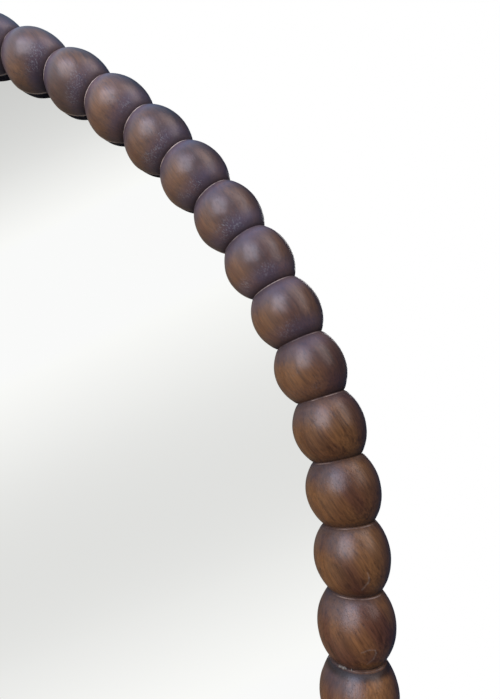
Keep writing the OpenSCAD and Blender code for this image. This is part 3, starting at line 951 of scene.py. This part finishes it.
# %% [markdown]
# Old hide glue is the colour of cream where it is clean and brown where dust stuck to it, so a
# fine noise chooses between the two.

# %% Finish of the dried glue
cream, tree, shader = new_finish("dried_glue", Roughness=0.55)
cloudy = noise(tree, place_node(tree), 1500.0)
wire(tree, mix_colours(tree, cloudy, (0.11, 0.085, 0.065), (0.3, 0.25, 0.19)),
     shader.inputs["Base Color"])
clear_in_silver(tree, shader)
paint(cream, glue_right, glue_left)

# %% [markdown]
# ## Mirror
# Silvered glass reflects nearly everything, so its look is the room's. The silver takes no
# roughness at all.

# %% Mirror finish
silver, tree, shader = new_finish("silvered_glass", Metallic=1.0, Roughness=0.0,
                                  Base_Color=(0.95, 0.955, 0.95))
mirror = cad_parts["mirror_glass"]
paint(silver, mirror)

# %% [markdown]
# ## Light
# A big soft window stands at the upper left and a weaker one at the right, each with a fanlight
# above it. The world is white where the camera looks past the mirror and a soft pale sweep where
# the silver looks. For the rest it is a dim bluish room with a warm wall at the left and some sky
# at the upper left, so that the beads keep their dark sides. What reaches a bead by way of the
# silver is a dull brown. The lamps skip the silver, which would show them as bright panes.

# %% Lamps
unlit = bpy.data.collections.new("lamps_skip_these")
unlit.objects.link(mirror)
unlit.collection_objects[0].light_linking.link_state = "EXCLUDE"


def lamp(name, place, target, size, power, colour):
    data = bpy.data.lights.new(name, "AREA")
    data.shape = "RECTANGLE"
    data.size, data.size_y = size
    data.energy = power
    data.color = colour
    light = bpy.data.objects.new(name, data)
    bpy.context.scene.collection.objects.link(light)
    light.location = place
    light.rotation_mode = "QUATERNION"
    light.rotation_quaternion = (Vector(target) - Vector(place)).to_track_quat("-Z", "Y")
    light.light_linking.receiver_collection = unlit
    print(name, "gives", power, "watts")


middle = Vector((0.25, -0.03, 0.2))


def beside(degrees, height, distance):
    """A place seen from the beads at an angle from straight ahead and a height in degrees."""
    level, raised = math.radians(degrees), math.radians(height)
    return middle + distance * Vector((math.sin(level) * math.cos(raised),
                                       -math.cos(level) * math.cos(raised), math.sin(raised)))


lamp("window", beside(-21, 19, 4.0), middle, (2.9, 2.8), 100, (1.0, 0.97, 1.13))
lamp("fanlight", beside(-21, 42, 4.0), middle, (2.6, 1.4), 21, (1.0, 0.94, 1.36))
lamp("side_window", beside(58, 31, 3.0), middle, (1.4, 2.3), 20, (1.1, 0.97, 0.96))
lamp("side_fanlight", beside(50, 58, 3.0), middle, (1.6, 1.4), 12, (1.3, 0.95, 0.8))
lamp("rear_light", (0.2, 2.2, 0.6), (0, 0, 0), (1.8, 1.8), 30, (1.0, 0.98, 0.95))

# %% World
world = bpy.data.worlds.new("room")
bpy.context.scene.world = world
world.use_nodes = True
tree = world.node_tree
tree.nodes.clear()
way = add(tree, "ShaderNodeTexCoord").outputs["Generated"]
axes = axes_of(tree, way)
depth = math_node(tree, "MAXIMUM", times(tree, axes["Y"], -1.0), 0.05)
aside = math_node(tree, "DIVIDE", axes["X"], depth)
up = math_node(tree, "DIVIDE", axes["Z"], depth)
sweep = math_node(tree, "SUBTRACT", up, times(tree, aside, 0.42))
ramp = add(tree, "ShaderNodeValToRGB", Fac=between(tree, sweep, -1.0, 1.5, smooth=False))
ramp.color_ramp.interpolation = "CARDINAL"
stops = ((0.0, 0.95), (0.17, 1.03), (0.28, 0.86), (0.36, 0.785), (0.45, 0.86), (0.54, 1.01),
         (0.65, 1.04), (0.745, 0.79), (0.86, 0.62))
while len(ramp.color_ramp.elements) < len(stops):
    ramp.color_ramp.elements.new(0.5)
for element, (place, tone) in zip(ramp.color_ramp.elements, stops):
    element.position = place
    element.color = (tone, tone, tone * 0.985, 1)
print("the sweep has", len(stops), "tones")


# %% Light of the room
def towards(direction, low, high):
    """Goes from 0 to 1 while the ray's cosine with the direction goes from low to high."""
    aim = Vector(direction).normalized()
    return between(tree, vector_node(tree, "DOT_PRODUCT", way, aim)["Value"], low, high)


ROOM, WARM_WALL, SKY = (0.02, 0.055, 0.11), (0.95, 0.69, 0.45), (0.02, 0.36, 0.68)
BY_WAY_OF_SILVER, PAPER = (0.26, 0.2, 0.15), (1, 1, 1)
FIRST_BOUNCE = 2.5  # the world counts the ray that comes off the silver as number two
path = add(tree, "ShaderNodeLightPath").outputs
off_silver = path["Is Singular Ray"]
looked_at = times(tree, off_silver, math_node(tree, "LESS_THAN", path["Ray Depth"], FIRST_BOUNCE))
light = mix_colours(tree, towards((-1.0, -0.1, 0.0), 0.2, 1.0), ROOM, WARM_WALL, "ADD")
light = mix_colours(tree, towards((-0.35, -0.45, 0.82), 0.25, 0.95), light, SKY, "ADD")
for share, colour in ((off_silver, BY_WAY_OF_SILVER), (looked_at, ramp.outputs[0]),
                      (path["Is Camera Ray"], PAPER)):
    light = mix_colours(tree, share, light, colour)
back = add(tree, "ShaderNodeBackground", Color=light)
tree.links.new(back.outputs[0], add(tree, "ShaderNodeOutputWorld").inputs["Surface"])
bpy.context.scene.view_settings.view_transform = "Standard"
print("the world has", len(tree.nodes), "nodes")

# %% [markdown]
# ## Floor
# A round pale floor lies just under the mirror and fades out towards its rim, so that it has no
# edge against the white. The wood doesn't take light or reflections from it.

# %% Floor
FLOOR_R = 0.95
bpy.ops.mesh.primitive_circle_add(vertices=96, radius=FLOOR_R, fill_type="NGON",
                                  location=(0, 0, solid_low.z - 2 * MM))
floor = bpy.context.object
floor.name = "floor"
floor.visible_glossy = floor.visible_diffuse = False
pale, tree, shader = new_finish("pale_floor", Roughness=0.8, Base_Color=(0.9, 0.84, 0.73))
far = add(tree, "ShaderNodeVectorMath", operation="LENGTH", in_0=place_node(tree))
wire(tree, between(tree, far.outputs["Value"], 0.6, 0.93, 1.0, 0.0), shader.inputs["Alpha"])
paint(pale, floor)

# %% [markdown]
# ## Back, tape and metal
# These pieces are the solids themselves, because their shapes are already exact. What a solid
# lacks is the broken edge that every real board, plate and rubber foot has, so a narrow bevel
# goes on the edges that are sharper than 40 degrees. The finishes are plain: fibres in the board,
# cells in the foam, cloudy zinc on the metal and a fine grit on the rubber.

# %% Broken edges
for node, width in (("back_panel", 0.4 * MM), ("wall_bumpers", 0.8 * MM),
                    ("hanger_strap_left", 0.2 * MM), ("hanger_strap_right", 0.2 * MM)):
    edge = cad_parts[node].modifiers.new("broken_edge", "BEVEL")
    edge.width = width
    edge.segments = 2
    edge.limit_method = "ANGLE"
    edge.angle_limit = math.radians(40)
    print(node, "has edges broken by", round(width / MM, 1), "mm")

# %% Board and tape
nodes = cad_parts


def two_tone(tree, shader, share, one, other):
    """A texture chooses between two tones of the same stuff."""
    wire(tree, mix_colours(tree, share, one, other), shader.inputs["Base Color"])


board, tree, shader = new_finish("fibreboard", Roughness=0.75)
fibres = noise(tree, stretched(tree, place_node(tree), (1, 1, 0.6)), 900.0, detail=4.0)
cloud = noise(tree, place_node(tree), 9.0, detail=3.0)
colour = mix_colours(tree, between(tree, fibres, 0.35, 0.7), (0.20, 0.115, 0.06),
                     (0.33, 0.21, 0.12))
two_tone(tree, shader, between(tree, cloud, 0.35, 0.65, 0.0, 0.3), colour, (0.16, 0.09, 0.045))
bump(tree, shader, fibres, 0.1 * MM, 0.5)
paint(board, nodes["back_panel"])

foam, tree, shader = new_finish("foam_tape", Roughness=0.85)
cells = noise(tree, place_node(tree), 2200.0)
two_tone(tree, shader, cells, (0.68, 0.68, 0.65), (0.8, 0.8, 0.77))
bump(tree, shader, cells, 0.08 * MM, 0.5)
paint(foam, nodes["mounting_tape"])

# %% Beech and rubber
beech, tree, shader = new_finish("beech", Roughness=0.6)
lines = noise(tree, stretched(tree, place_node(tree), (1, 1, 0.1)), 900.0, detail=3.0)
two_tone(tree, shader, between(tree, lines, 0.3, 0.7), (0.42, 0.26, 0.14), (0.6, 0.42, 0.25))
paint(beech, *(piece for node, piece in nodes.items() if "dowel" in node))

rubber, tree, shader = new_finish("rubber", Roughness=0.7)
grit = noise(tree, place_node(tree), 800.0, detail=3.0)
two_tone(tree, shader, grit, (0.012, 0.012, 0.012), (0.035, 0.035, 0.036))
bump(tree, shader, grit, 0.05 * MM, 0.5)
paint(rubber, nodes["wall_bumpers"])


# %% Zinc on the metal
def plated(name, tint, tint_dark):
    material, tree, shader = new_finish(name, Metallic=1.0)
    spots = noise(tree, place_node(tree), 240.0, detail=4.0)
    two_tone(tree, shader, between(tree, spots, 0.35, 0.7), tint, tint_dark)
    wire(tree, between(tree, spots, 0.3, 0.7, 0.24, 0.42), shader.inputs["Roughness"])
    bump(tree, shader, noise(tree, place_node(tree), 1500.0), 0.03 * MM, 0.5)
    return material


paint(plated("yellow_zinc", (0.68, 0.52, 0.22), (0.5, 0.42, 0.26)), nodes["panel_screws"])
paint(plated("bright_zinc", (0.62, 0.63, 0.64), (0.45, 0.46, 0.48)),
      *(piece for node, piece in nodes.items() if "hanger" in node))

# %% [markdown]
# ## Box of the solids
# The dressed pieces have to stay inside the solids' box, which is printed here.

# %% The solids' box
print("solids ", [round(x / MM, 2) for x in (*solid_low, *solid_high)])
